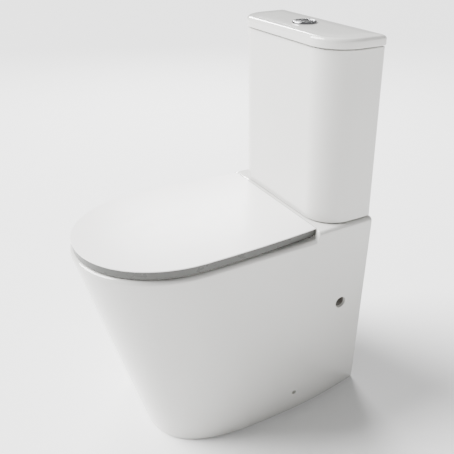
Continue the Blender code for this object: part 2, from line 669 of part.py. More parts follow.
def make_push(name, hand, split):
    """Half of the round button with its push rod, and the spring round the rod."""
    x, out = hand * ROD_X, BUTTON_OUT + hand * ROD_SHIFT
    low = BUTTON_TOP - 0.0075
    disc = cylinder(at(0, BUTTON_OUT, (BUTTON_TOP + low) / 2), BUTTON_R, BUTTON_TOP - low, segments=32)
    button = add_piece(name, disc, "chrome", at(x, out, BUTTON_TOP))
    edge = button.modifiers.new("Edge", "BEVEL")
    edge.width = 0.0007
    edge.segments = 2
    edge.limit_method = "ANGLE"
    other = sorted((split, -hand * 0.05))
    combine(button, "DIFFERENCE", box((other[0], 0.0, low - 0.01), (other[1], 0.12, BUTTON_TOP + 0.01)))
    rod_top = low + 0.002
    combine(button, "UNION",
            cylinder(at(x, out, (rod_top + ROD_TIP_Z) / 2), 0.0026, rod_top - ROD_TIP_Z, segments=12))
    make_spring(name.replace("button", "spring"), x, out, BEZEL_FLOOR + GAP, low - GAP)


def make_spring(name, x, out, low, high):
    """A compression spring with closed flat ends, wound round the push rod."""
    wire, coil, turns, per_turn = 0.0004, 0.0042, 4, 8
    curve = bpy.data.curves.new(name, "CURVE")
    curve.dimensions = "3D"
    curve.bevel_depth = wire
    curve.bevel_resolution = 1
    curve.use_fill_caps = True
    spline = curve.splines.new("POLY")
    count = turns * per_turn
    spline.points.add(count)
    for i, point in enumerate(spline.points):
        a = 2 * math.pi * i / per_turn
        z = low + wire + (high - low - 2 * wire) * i / count
        point.co = (*(at(x, out, z) + Vector((coil * math.cos(a), coil * math.sin(a), 0))), 1)
    spring = bpy.data.objects.new(name, curve)
    PARTS.objects.link(spring)
    curve.materials.append(make_material(name, "steel"))
    return spring


# --- seat, lid and hinges -----------------------------------------------------------------------
def make_seat():
    low, high = SEAT_Z
    inset = LID_WALL + 0.0018
    rings = []
    for extra, drop in reversed(rounded_edge(0.0025, 2)):
        rings.append(ring_at(lid_outline(inset + extra, SEAT_REAR), low + drop))
    for extra, drop in rounded_edge(0.0035, 3):
        rings.append(ring_at(lid_outline(inset + extra, SEAT_REAR), high - drop))
    seat = add_piece("seat_ring", loft(rings), "seat", at(0, AXIS_OUT, AXIS_Z))
    opening = [(low - 0.005, 0.0), (high - 0.007, 0.0), (high - 0.003, 0.0012), (high - 0.0008, 0.0040),
               (high + 0.0010, 0.0080)]
    rings = [ring_at(bowl_outline(0.113 + grow, 0.232 - grow, 0.520 + grow), z) for z, grow in opening]
    combine(seat, "DIFFERENCE", loft(rings))
    for side in (-1, 1):
        inner, outer = sorted((side * (HINGE_X + 0.0075), side * (HINGE_X + 0.0225)))
        middle = at((inner + outer) / 2, AXIS_OUT, AXIS_Z)
        combine(seat, "UNION",
                cylinder(middle, KNUCKLE_R, outer - inner, "X", 16),
                box((inner, AXIS_OUT, AXIS_Z - 0.0035), (outer, SEAT_REAR + 0.008, AXIS_Z + 0.0020)))
        combine(seat, "DIFFERENCE", cylinder(middle, PIN_R + GAP, 0.03, "X", 16))
    return seat


def make_lid():
    rings = [ring_at(lid_outline(0.0006), LID_SKIRT_Z), ring_at(lid_outline(), LID_SKIRT_Z + 0.0008)]
    for extra, drop in rounded_edge(0.0025, 3):
        rings.append(ring_at(lid_outline(extra, LID_REAR + extra * 0.4), LID_TOP_Z - drop))
    lid = add_piece("seat_lid", loft(rings), "seat", at(0, AXIS_OUT, AXIS_Z))
    inside = [ring_at(lid_outline(LID_WALL, LID_REAR - 0.01), z)
              for z in (LID_SKIRT_Z - 0.01, LID_TOP_Z - LID_WALL)]
    combine(lid, "DIFFERENCE", loft(inside))
    for side in (-1, 1):
        inner, outer = sorted((side * (HINGE_X - 0.0225), side * (HINGE_X - 0.0075)))
        middle = at((inner + outer) / 2, AXIS_OUT, AXIS_Z)
        combine(lid, "UNION",
                cylinder(middle, KNUCKLE_R, outer - inner, "X", 16),
                box((inner, AXIS_OUT - 0.0045, AXIS_Z), (outer, AXIS_OUT + 0.0045, LID_TOP_Z - 0.002)))
        combine(lid, "DIFFERENCE", cylinder(middle, PIN_R + GAP, 0.03, "X", 16))
    corner = at(0, LID_REAR, LID_SKIRT_Z)
    combine(lid, "DIFFERENCE", cylinder(corner, 0.0035, 0.5, "X", 4))
    return lid


def make_hinges():
    for side, hand in ((-1, "L"), (1, "R")):
        x = side * HINGE_X
        inner, outer = x - 0.0065, x + 0.0065
        top = cylinder(at(x, AXIS_OUT, AXIS_Z), KNUCKLE_R, 0.013, "X", 20)
        post = add_piece(f"hinge_post_{hand}", top, "chrome")
        base = RIM_Z + GAP
        combine(post, "UNION",
                box((inner, AXIS_OUT - 0.0044, base), (outer, AXIS_OUT + 0.0075, AXIS_Z - 0.0005)),
                cylinder(at(x, AXIS_OUT + 0.001, base + 0.0004), 0.0100, 0.0008, segments=24))
        combine(post, "DIFFERENCE",
                cylinder(at(x, AXIS_OUT, AXIS_Z), PIN_R + GAP, 0.03, "X", 16),
                cylinder(at(x, AXIS_OUT, base), 0.0028, 0.0100, segments=12))
        pin_centre = at(side * (HINGE_X + 0.0005), AXIS_OUT, AXIS_Z)
        add_piece(f"hinge_pin_{hand}", cylinder(pin_centre, PIN_R, 0.0480, "X", 16), "steel")
        end = base - 0.0305
        turned(f"hinge_stud_{hand}", "steel",
               [(0, base + 0.0045), (0.0025, base + 0.0045), (0.0025, RIM_Z - 0.045), (0, RIM_Z - 0.045)],
               at(x, AXIS_OUT, 0), 12)
        turned(f"hinge_anchor_{hand}", "rubber",
               [(0.0029, base - 0.001), (0.0070, base - 0.001), (0.0070, base - 0.0155),
                (0.0095, base - 0.0215), (0.0070, end), (0.0029, end)], at(x, AXIS_OUT, 0), 16, ring=True)
        make_nut(f"hinge_nut_{hand}", "steel", at(x, AXIS_OUT, 0), end - GAP, 0.0050, 0.0029, 0.0062)


def make_buffers():
    seat_low = SEAT_Z[0]
    places = {"FL": (-0.092, 0.505), "FR": (0.092, 0.505), "RL": (-0.146, 0.300), "RR": (0.146, 0.300)}
    for corner, (x, out) in places.items():
        turned(f"seat_buffer_{corner}", "soft_white",
               [(0, seat_low - GAP), (0.0080, seat_low - GAP), (0.0070, RIM_Z + GAP), (0, RIM_Z + GAP)],
               at(x, out, 0), 16)
    top = LID_TOP_Z - LID_WALL - GAP
    for side, hand in ((-1, "L"), (1, "R")):
        turned(f"lid_buffer_{hand}", "soft_white",
               [(0, top), (0.0060, top), (0.0055, SEAT_Z[1] + GAP), (0, SEAT_Z[1] + GAP)],
               at(side * 0.095, 0.498, 0), 16)


def make_floor_fixings():
    """A block standing on the floor behind each skirt, and the screw that ties the skirt to it."""
    out, height, _ = FIXING_HOLE
    for side, hand in ((-1, "L"), (1, "R")):
        skin = pan_side(height, out) - CHINA
        outer = side * (skin - 0.006)
        inner = side * (skin - 0.036)
        low, high = sorted((inner, outer))
        block = add_piece(f"floor_block_{hand}",
                          box((low, out - 0.020, GAP), (high, out + 0.020, height + 0.013)), "plastic")
        combine(block, "DIFFERENCE",
                cylinder(at((low + high) / 2, out, height), 0.0026, 0.08, "X", 12),
                cylinder(at((low + high) / 2, out - 0.012, 0.02), 0.0030, 0.10, segments=12),
                cylinder(at((low + high) / 2, out + 0.012, 0.02), 0.0030, 0.10, segments=12))
        head = side * (skin + 0.0045)
        shank = (head + inner) / 2
        screw = add_piece(f"floor_screw_{hand}",
                          cylinder(at(shank, out, height), 0.0022, abs(head - inner), "X", 12), "steel")
        combine(screw, "UNION", cylinder(at(head, out, height), 0.0040, 0.0024, "X", 16))


def build():
    clear_scene()
    make_pan()
    make_tank()
    make_cover()
    make_bolts()
    make_flush_valve()
    make_fill_valve()
    make_button()
    make_seat()
    make_lid()
    make_hinges()
    make_buffers()
    make_floor_fixings()


clear_scene()
PARTS = new_collection("close_coupled_toilet")
CUTTERS = new_collection("cutters")
build()
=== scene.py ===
"""Close coupled toilet: smooth visual pieces, materials, light and camera over the shared CAD frame.

Distances called "out" are measured from the wall plane towards the front, in metres.
"""

import json
import math

import bmesh
import bpy
from mathutils import Matrix, Vector


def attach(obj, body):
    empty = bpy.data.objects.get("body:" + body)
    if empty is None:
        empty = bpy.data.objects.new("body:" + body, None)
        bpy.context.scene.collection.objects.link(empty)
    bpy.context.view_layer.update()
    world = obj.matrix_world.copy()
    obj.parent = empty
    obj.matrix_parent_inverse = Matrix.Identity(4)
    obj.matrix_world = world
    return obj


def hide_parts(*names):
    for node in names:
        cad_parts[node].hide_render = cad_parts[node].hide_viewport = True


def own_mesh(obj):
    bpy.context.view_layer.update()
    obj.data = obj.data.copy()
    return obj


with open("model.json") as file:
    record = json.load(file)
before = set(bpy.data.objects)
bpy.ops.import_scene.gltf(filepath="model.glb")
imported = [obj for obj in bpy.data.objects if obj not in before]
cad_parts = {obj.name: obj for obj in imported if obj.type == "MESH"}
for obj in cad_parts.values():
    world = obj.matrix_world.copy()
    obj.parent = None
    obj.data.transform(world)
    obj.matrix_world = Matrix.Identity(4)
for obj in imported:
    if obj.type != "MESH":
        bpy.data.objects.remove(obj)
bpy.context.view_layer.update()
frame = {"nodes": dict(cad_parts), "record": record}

# --- dimensions, as in the part ------------------------------------------------------------------
PROJECTION = .577
WALL_Y = PROJECTION / 2
RIM_Z, DECK_Z = .422, .440
DECK_FRONT, SWEEP_START, SWEEP_END, RECESS_HALF = .1275, .1300, .1380, .1675
CHINA, DECK_THICK, SHOULDER = .011, .014, .009
PAN_NOSE, PAN_POWER, PAN_HALF = .200, .965, .180
FOOT_FRONT, FOOT_NOSE, FOOT_POWER = .4735, .283, .60
FOOT_HALF, FOOT_REAR_HALF = .179, .160
BOWL_HALF, BOWL_FRONT, BOWL_REAR = .125, .540, .240
BOWL_TOP_Z, BOWL_BOTTOM_Z, BOWL_WALL = RIM_Z - .012, .118, .010
SUMP = (.028, .278, .345)
DUCT_Z, DUCT_R, DUCT_END = .368, .021, .262
ACCESS_HOLE = (.062, .2455, .0135)
FIXING_HOLE = (.179, .047, .0050)
SPIGOT_Z, SPIGOT_R, SPIGOT_BORE = .185, .051, .0425
TRAP_R, TRAP_WALL = .034, .009
TANK_Z, TANK_TOP_Z = DECK_Z + .0025, .7895
TANK_HALF, TANK_DEPTH, TANK_CORNER, TANK_WALL = .1727, .1225, .0665, .009
TANK_FLOOR_Z = TANK_Z + .011
COVER_TOP_Z, COVER_OVERHANG, COVER_FRONT, COVER_THICK = .8128, .003, .0035, .010
GAP, SHADOW_GAP = .0003, .002
LID_FRONT, LID_REAR, LID_HALF, LID_REAR_HALF = .5737, .1316, .1755, .1647
LID_TAPER, LID_NOSE, LID_POWER = .235, .197, .965
SKIRT_REAR_Z = RIM_Z + .006       # the lid's edge is cut back here to swing clear of the rim
LID_TOP_Z, LID_SKIRT_Z, LID_WALL = RIM_Z + .020, RIM_Z + .0030, .0035
SEAT_LOW, SEAT_HIGH, SEAT_REAR = RIM_Z + .0035, RIM_Z + .015, .154
AXIS_OUT, AXIS_Z = LID_REAR + .010, LID_TOP_Z - .0085
HINGE_X, PIN_R, KNUCKLE_R = .0775, .003, .0046
VALVE_OUT, INLET_X, INLET_OUT = .064, -.115, .060
BOLT_X, BOLT_OUT = .0725, .064
BUTTON_TOP, BEZEL_FLOOR, BUTTON_R = COVER_TOP_Z + .0036, COVER_TOP_Z - .018, .0188
ROD_X, ROD_SHIFT, ROD_TIP_Z, ROD_R, ROD_HOLE_R = .0111, .0075, COVER_TOP_Z - .098, .0026, .0034
BUTTON_THICK, BUTTON_EDGE, BUTTON_SPLIT = .0075, .0009, .0006
BEZEL_INNER, BEZEL_LIP, BEZEL_SHANK, BEZEL_STEM, BEZEL_DEEP = .0192, .0220, .0222, .0140, .0260
COVER_CROWN, COVER_EDGE, COVER_HOLE_R = .0012, .008, .0228
PLINTH, COVER_LOWER_EDGE = .0095, .0016          # the cover's slab stands on a set-back plinth
SEAT_OPENING = (.113, .232, .520)
KNUCKLE_NEAR, KNUCKLE_FAR = .0075, .0225         # from the middle of a hinge post
LID_PLATE, EDGE_SET_BACK = .0014, .0022          # the plate oversails the core behind the edge strip
TANK_VALVE_R, TANK_INLET_R, TANK_BOLT_R = .0310, .0115, .0050
PAN_INLET_R, PAN_BOLT_R, PAN_ANCHOR_R = .024, .0060, .0075
# dark sleeves behind the access holes, not part of the pan: painted shade that lines the view into
# the holes
SHADE_SLEEVE_X, SHADE_SLEEVE_THICK, SHADE_SLEEVE_LENGTH = .1545, .005, .032
SIDE_HOLES = ((ACCESS_HOLE, .1741, .0025), (FIXING_HOLE, .1786, .0010))   # hole, skirt, flare
COIL_WIRE, COIL_R, COIL_TURNS, COIL_STEPS, COIL_TRAVEL = .0004, .0042, 4, 16, .0062

PIECES = bpy.data.collections.new("visual_pieces")
bpy.context.scene.collection.children.link(PIECES)


# --- materials -----------------------------------------------------------------------------------
def material(name, colour, roughness, metal=0.0, coat=0.0, tint=0.0, tint_scale=6.0,
             wear=0.0, wear_scale=40.0, bump=0.0, bump_scale=300.0, stretch=(1, 1, 1)):
    """A Principled finish with a drift of tone, a drift of gloss and a fine surface texture."""
    made = bpy.data.materials.new(name)
    made.use_nodes = True
    nodes, links = made.node_tree.nodes, made.node_tree.links
    shader = nodes["Principled BSDF"]
    shader.inputs["Metallic"].default_value = metal
    shader.inputs["Coat Weight"].default_value = coat
    shader.inputs["Coat Roughness"].default_value = .04
    place = nodes.new("ShaderNodeTexCoord")
    scaled = nodes.new("ShaderNodeMapping")
    scaled.inputs["Scale"].default_value = stretch
    links.new(place.outputs["Object"], scaled.inputs["Vector"])

    def noise(scale, detail):
        made_noise = nodes.new("ShaderNodeTexNoise")
        made_noise.inputs["Scale"].default_value = scale
        made_noise.inputs["Detail"].default_value = detail
        links.new(scaled.outputs["Vector"], made_noise.inputs["Vector"])
        return made_noise

    tone = noise(tint_scale, 4.0)
    ramp = nodes.new("ShaderNodeValToRGB")
    ramp.color_ramp.elements[0].position = .3
    ramp.color_ramp.elements[1].position = .7
    ramp.color_ramp.elements[0].color = (*[c * (1 - tint) for c in colour], 1)
    ramp.color_ramp.elements[1].color = (*[min(c * (1 + tint), 1) for c in colour], 1)
    links.new(tone.outputs["Fac"], ramp.inputs["Fac"])
    links.new(ramp.outputs["Color"], shader.inputs["Base Color"])

    gloss = noise(wear_scale, 6.0)
    spread = nodes.new("ShaderNodeMapRange")
    spread.inputs["From Min"].default_value = .3
    spread.inputs["From Max"].default_value = .7
    spread.inputs["To Min"].default_value = max(roughness - wear, .02)
    spread.inputs["To Max"].default_value = roughness + wear
    links.new(gloss.outputs["Fac"], spread.inputs["Value"])
    links.new(spread.outputs["Result"], shader.inputs["Roughness"])

    relief = noise(bump_scale, 2.0)
    raised = nodes.new("ShaderNodeBump")
    raised.inputs["Strength"].default_value = bump
    raised.inputs["Distance"].default_value = .0004
    links.new(relief.outputs["Fac"], raised.inputs["Height"])
    links.new(raised.outputs["Normal"], shader.inputs["Normal"])
    return made


FINISHES = {
    "glazed_china": material("glazed_china", (.71, .705, .680), .10, coat=.6, tint=.012, wear=.025,
                             bump=.05, bump_scale=55),
    # china without glaze: rough like real biscuit china, with its colour darkened as painted shade
    # for the bores, hollows and cut faces inside the pan
    "bare_china_painted_shade": material("bare_china_painted_shade", (.20, .19, .175), .85, tint=.06, wear=.05, bump=.3,
                           bump_scale=400),
    "seat_plastic": material("seat_plastic", (.90, .885, .87), .33, tint=.008, wear=.03,
                             bump=.06, bump_scale=700),
    # the lid's edge band: the white lid's side darkened to near black as painted shade under its edge
    "seat_edge_painted_shade": material("seat_edge_painted_shade", (.085, .087, .080), .28, tint=.02, wear=.015, bump=.015,
                          bump_scale=700),
    # chrome darkened below real chrome's own colour: painted dark reflection of the room in the
    # button and bezel
    "chrome_plate": material("chrome_plate", (.30, .30, .31), .16, metal=1.0, tint=.02, wear=.03,
                             bump=.03, bump_scale=900),
    "stainless_steel": material("stainless_steel", (.52, .52, .52), .28, metal=1.0, tint=.05,
                                wear=.06, bump=.12, bump_scale=900, stretch=(1, 1, 8)),
    "valve_plastic": material("valve_plastic", (.74, .74, .73), .42, tint=.02, wear=.05, bump=.15,
                              bump_scale=1200),
    "float_plastic": material("float_plastic", (.09, .20, .38), .40, tint=.05, wear=.05, bump=.15,
                              bump_scale=1200),
    "black_rubber": material("black_rubber", (.030, .030, .031), .65, tint=.15, wear=.08, bump=.3,
                             bump_scale=1500),
    "buffer_rubber": material("buffer_rubber", (.70, .70, .69), .55, tint=.03, wear=.06, bump=.2,
                              bump_scale=1500),
}


# --- mesh helpers --------------------------------------------------------------------------------
def at(x, out, z):
    return Vector((x, WALL_Y - out, z))


def to_mesh(bm, name="shape"):
    bmesh.ops.recalc_face_normals(bm, faces=bm.faces)
    mesh = bpy.data.meshes.new(name)
    bm.to_mesh(mesh)
    bm.free()
    return mesh


def loft(rings, ruled_top=False):
    """A closed solid through rings; a ruled top spans from each point to its mirror image."""
    bm = bmesh.new()
    loops = [[bm.verts.new(point) for point in ring] for ring in rings]
    for low, high in zip(loops, loops[1:]):
        for i, vert in enumerate(low):
            j = (i + 1) % len(low)
            bm.faces.new((vert, low[j], high[j], high[i]))
    bm.faces.new(reversed(loops[0]))
    top = loops[-1]
    if ruled_top:
        for i in range(len(top) // 2):
            near, far = top[i:i + 2], top[len(top) - 2 - i:len(top) - i]
            bm.faces.new((near[0], near[1], far[1]))
            if near[1] is not far[0]:
                bm.faces.new((near[1], far[0], far[1]))
    else:
        bm.faces.new(top)
    bmesh.ops.triangulate(bm, faces=[f for f in bm.faces if len(f.verts) > 3])
    return to_mesh(bm)


def box(low, high):
    a, b = at(*low), at(*high)
    bm = bmesh.new()
    size = [abs(q - p) for p, q in zip(a, b)]
    bmesh.ops.create_cube(bm, size=1, matrix=Matrix.Translation((a + b) / 2)
                          @ Matrix.Diagonal((*size, 1)))
    return to_mesh(bm)


def cylinder(centre, radius, length, axis="Z", segments=64, end_radius=None):
    turn = {"X": Matrix.Rotation(math.pi / 2, 4, "Y"), "Y": Matrix.Rotation(-math.pi / 2, 4, "X"),
            "Z": Matrix.Identity(4)}[axis]
    bm = bmesh.new()
    bmesh.ops.create_cone(bm, cap_ends=True, segments=segments, radius1=radius,
                          radius2=radius if end_radius is None else end_radius, depth=length,
                          matrix=Matrix.Translation(centre) @ turn)
    return to_mesh(bm)


def turned(profile, centre, segments=96):
    """A closed ring or a capped body of revolution from radius and height pairs."""
    rings = [[Vector(centre) + Vector((r * math.cos(a), r * math.sin(a), z))
              for a in (2 * math.pi * i / segments for i in range(segments))] for r, z in profile]
    bm = bmesh.new()
    loops = [[bm.verts.new(p) for p in ring] for ring in rings]
    for low, high in zip(loops, loops[1:] + loops[:1]):
        for i in range(segments):
            j = (i + 1) % segments
            bm.faces.new((low[i], low[j], high[j], high[i]))
    bmesh.ops.remove_doubles(bm, verts=bm.verts, dist=1e-7)
    return to_mesh(bm)


def tube(points, radius, detail=10):
    curve = bpy.data.curves.new("path", "CURVE")
    curve.dimensions = "3D"
    curve.bevel_depth = radius
    curve.bevel_resolution = detail
    curve.resolution_u = detail
    curve.use_fill_caps = True
    spline = curve.splines.new("BEZIER")
    spline.bezier_points.add(len(points) - 1)
    for knot, point in zip(spline.bezier_points, points):
        knot.co = at(*point)
        knot.handle_left_type = knot.handle_right_type = "AUTO"
    holder = bpy.data.objects.new("path", curve)
    PIECES.objects.link(holder)
    bpy.context.view_layer.update()
    mesh = bpy.data.meshes.new_from_object(
        holder.evaluated_get(bpy.context.evaluated_depsgraph_get()))
    bpy.data.objects.remove(holder)
    bm = bmesh.new()
    bm.from_mesh(mesh)
    bmesh.ops.remove_doubles(bm, verts=bm.verts, dist=.00001)
    return to_mesh(bm)


def combined(base, steps):
    """The mesh left after the steps, each an operation name and a list of meshes."""
    holder = bpy.data.objects.new("work", base)
    PIECES.objects.link(holder)
    guides = []
    for operation, meshes in steps:
        for mesh in meshes:
            guide = bpy.data.objects.new("guide", mesh)
            PIECES.objects.link(guide)
            guides.append(guide)
            step = holder.modifiers.new(operation, "BOOLEAN")
            step.operation, step.solver, step.object = operation, "EXACT", guide
    bpy.context.view_layer.update()
    result = bpy.data.meshes.new_from_object(
        holder.evaluated_get(bpy.context.evaluated_depsgraph_get()))
    for spent in guides + [holder]:
        bpy.data.objects.remove(spent)
    return result


def china(mesh, bare_and_shaded=0):
    """The two finishes of a china shape, glazed and without glaze, with all its faces glazed (0) or
    without glaze (1); the finish without glaze is darkened as painted shade.
    """
    for name in ("glazed_china", "bare_china_painted_shade"):
        mesh.materials.append(FINISHES[name])
    mesh.polygons.foreach_set("material_index", [bare_and_shaded] * len(mesh.polygons))
    return mesh


def unglazed_and_shaded(mesh):
    """Marks a shape whose faces stay without glaze on the china it is joined to or cut from, in the
    dark finish that paints the shade of the hollows inside the pan.
    """
    return china(mesh, 1)


def piece(name, mesh, finish, body, *nodes, angle=32):
    made = bpy.data.objects.new(name, mesh)
    mesh.name = name
    PIECES.objects.link(made)
    if not mesh.materials:
        mesh.materials.append(FINISHES[finish])
    mesh.shade_smooth()
    mesh.set_sharp_from_angle(angle=math.radians(angle))
    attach(made, body)
    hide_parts(*nodes)
    return made


# --- outlines ------------------------------------------------------------------------------------
def mirrored(right):
    left = [(-x, out) for x, out in reversed(right) if x > 1e-6]
    return list(right) + left


def nose(half, front, length, steps, power):
    turn = [math.pi / 2 * i / steps for i in range(steps + 1)]
    return [(half * max(math.cos(a), 0.0) ** power, front - length * (1 - math.sin(a) ** power))
            for a in turn]


def smooth(t):
    t = min(max(t, 0.0), 1.0)
    return t * t * (3 - 2 * t)


def pan_top(out):
    """Height of the pan's top edge: level under the cistern, then a sweep down to the rim."""
    return DECK_Z + (RIM_Z - DECK_Z) * smooth((out - SWEEP_START) / (SWEEP_END - SWEEP_START))


def pan_outline(height, inset=0.0, rear=0.0, steps=64):
    up = min(height / RIM_Z, 1.0)
    half = FOOT_HALF + (PAN_HALF - FOOT_HALF) * up - inset
    rear_half = FOOT_REAR_HALF + (PAN_HALF - FOOT_REAR_HALF) * up - inset
    tip = (PROJECTION - FOOT_FRONT) / (1 - SHOULDER / RIM_Z)
    front = FOOT_FRONT + tip * up - inset
    length = FOOT_NOSE + (PAN_NOSE - FOOT_NOSE) * up - inset * .6
    power = FOOT_POWER + (PAN_POWER - FOOT_POWER) * up
    side = front - length
    outs = [rear + (SWEEP_START - rear) * i / 8 for i in range(8)]
    outs += [SWEEP_START + (SWEEP_END - SWEEP_START) * i / 12 for i in range(12)]
    outs += [SWEEP_END + (side - SWEEP_END) * i / 20 for i in range(20)]
    right = []
    for out in outs:
        swell = math.sin((out - rear) / (side - rear) * math.pi / 2)
        right.append((rear_half + (half - rear_half) * swell, out))
    return mirrored(right + nose(half, front, length, steps, power))


def skirt_ring(share=1.0, inset=0.0, drop=0.0):
    """A ring of the skirt at a share of its height, or at a drop below its swept top edge."""
    return [at(x, out, pan_top(out) * share - drop)
            for x, out in reversed(pan_outline(RIM_Z * share - drop, inset))]


def ring_at(outline, z):
    return [at(x, out, z) for x, out in reversed(outline)]


def egg(half, rear, front, steps=64):
    middle = rear + (front - rear) * .46
    points = []
    for i in range(2 * steps):
        a = math.pi * i / steps
        reach = (front - middle) if math.cos(a) > 0 else (middle - rear)
        points.append((half * math.sin(a), middle + reach * math.cos(a)))
    return points


def bowl_rings(grow, lowest, top, levels=26):
    sump_half, sump_rear, sump_front = SUMP
    rings = []
    for i in range(levels):
        down = 1 - i / (levels - 1)
        half = BOWL_HALF - (BOWL_HALF - sump_half) * down ** 1.7 + grow
        front = BOWL_FRONT - (BOWL_FRONT - sump_front) * down ** 1.5 + grow
        rear = BOWL_REAR + (sump_rear - BOWL_REAR) * down ** 1.6 - grow
        rings.append(ring_at(egg(half, rear, front), BOWL_TOP_Z - (BOWL_TOP_Z - lowest) * down))
    for height, flare in top:
        rings.append(ring_at(egg(BOWL_HALF + grow + flare, BOWL_REAR - grow - flare,
                                 BOWL_FRONT + grow + flare), height))
    return rings


def tank_outline(half, depth, corner, rear=0.0, rear_corner=.006, steps=24):
    corner = min(corner, depth - rear - rear_corner - .001)
    right = []
    for i in range(7):
        a = math.pi / 12 * i
        right.append((half - rear_corner + rear_corner * math.sin(a),
                      rear + rear_corner - rear_corner * math.cos(a)))
    for i in range(steps + 1):
        a = math.pi / 2 * i / steps
        right.append((half - corner + corner * math.cos(a), depth - corner + corner * math.sin(a)))
    return mirrored(right)


def lid_outline(inset=0.0, rear=LID_REAR, steps=72):
    half, rear_half = LID_HALF - inset, LID_REAR_HALF - inset
    right = []
    for i in range(30):
        along = i / 30
        x = rear_half + (half - rear_half) * (1 - (1 - along) ** 2)
        right.append((x, max(LID_REAR + LID_TAPER * along, rear + 1e-5 * i) if i else rear))
    return mirrored(right + nose(half, LID_FRONT - inset, LID_NOSE - inset * .6, steps, LID_POWER))


def rounded(radius, steps=8):
    turn = [math.pi / 2 * i / steps for i in range(steps + 1)]
    return [(radius * (1 - math.cos(a)), radius * (1 - math.sin(a))) for a in turn]


# --- china ---------------------------------------------------------------------------------------
def build_pan():
    levels = 24
    rings = [[at(x * .992, out * .996, 0) for x, out in reversed(pan_outline(0.0))],
             skirt_ring(.006)]
    last = 1 - SHOULDER / RIM_Z
    rings += [skirt_ring(.006 + (last - .006) * i / levels) for i in range(1, levels)]
    for inset, drop in rounded(SHOULDER):
        rings.append(skirt_ring(1.0, inset, drop))
    shell = china(loft(rings, ruled_top=True))

    past_wall = -.03
    void = [ring_at(pan_outline(z, CHINA, past_wall), z) for z in (-.01, .10, .20, .30)]
    void.append(ring_at(pan_outline(RIM_Z, CHINA, past_wall), RIM_Z - DECK_THICK))
    side = PAN_HALF - CHINA - SHOULDER * .4
    recess = box((-RECESS_HALF, DECK_FRONT, RIM_Z), (RECESS_HALF, SWEEP_END - .0001, DECK_Z + .05))

    trap = [(0, .330, .175), (0, .290, .157), (0, .245, .170), (0, .205, .222), (0, .162, .247),
            (0, .122, .224), (0, .092, .1955), (0, .052, SPIGOT_Z)]
    middle = at(0, (VALVE_OUT + DUCT_END) / 2, DUCT_Z)
    length = DUCT_END - VALVE_OUT
    joined = [loft(bowl_rings(BOWL_WALL, BOWL_BOTTOM_Z - BOWL_WALL, [(RIM_Z - .004, 0.0)])),
              tube(trap, TRAP_R + TRAP_WALL),
              cylinder(at(0, .0600, SPIGOT_Z), SPIGOT_R, .080, "Y"),
              cylinder(at(0, VALVE_OUT, DECK_Z - .023), .056, .030),
              cylinder(at(0, VALVE_OUT, DUCT_Z + .0035), .036, .077),
              cylinder(middle, DUCT_R + BOWL_WALL, length - .02, "Y")]
    out, height, radius = ACCESS_HOLE
    # dark sleeves behind the access holes: painted shade, not part of the pan
    joined += [cylinder(at(hand * SHADE_SLEEVE_X, out, height), radius + SHADE_SLEEVE_THICK, SHADE_SLEEVE_LENGTH, "X")
               for hand in (-1, 1)]
    # every part joined inside the pan takes the finish without glaze, whose dark colour paints the
    # shade inside it
    joined = [unglazed_and_shaded(mesh) for mesh in joined]
    mouth = [(RIM_Z - drop, inset) for inset, drop in rounded(.007)]
    mouth.append((RIM_Z + .01, .0085))
    cut = [loft(bowl_rings(0.0, BOWL_BOTTOM_Z, mouth)), tube(trap, TRAP_R),
           cylinder(at(0, .03, SPIGOT_Z), SPIGOT_BORE, .070, "Y"),
           cylinder(middle, DUCT_R, length, "Y"),
           cylinder(at(0, VALVE_OUT, DUCT_Z + .027), .0265, .100),
           cylinder(at(0, VALVE_OUT, DECK_Z), .0465, .044),
           cylinder(at(INLET_X, INLET_OUT, DECK_Z), PAN_INLET_R, .06)]
    for hand in (-1, 1):
        cut += [cylinder(at(hand * BOLT_X, BOLT_OUT, DECK_Z), PAN_BOLT_R, .06, segments=32),
                cylinder(at(hand * HINGE_X, AXIS_OUT, RIM_Z), PAN_ANCHOR_R, .06, segments=32)]
        for (out, height, radius), face, flare in SIDE_HOLES:
            # the side-hole bores take the finish without glaze, whose dark colour paints the shade
            # inside the holes
            cut += [unglazed_and_shaded(cylinder(at(hand * (face - .029), out, height), radius, .042, "X")),
                    cylinder(at(hand * face, out, height), radius, .017, "X")]
            wide, narrow = radius + flare, radius + flare - .007
            ends = (narrow, wide) if hand > 0 else (wide, narrow)
            cut.append(cylinder(at(hand * (face - .0005), out, height), ends[0], .007, "X",
                                end_radius=ends[1]))
    mesh = combined(shell, [
        # the cut faces of the hollow take the dark finish without glaze: painted shade inside the pan
        ("DIFFERENCE", [recess, unglazed_and_shaded(loft(void)),
                        unglazed_and_shaded(box((-side, past_wall, RIM_Z - DECK_THICK - .01),
                                     (side, DECK_FRONT - CHINA, DECK_Z - DECK_THICK)))]),
        ("UNION", joined), ("DIFFERENCE", cut)])
    piece("pan_china", mesh, "glazed_china", "pan_assembly", "pan", angle=30)


def tank_ring(inset, z):
    return ring_at(tank_outline(TANK_HALF - inset, TANK_DEPTH - inset, TANK_CORNER - inset, inset), z)


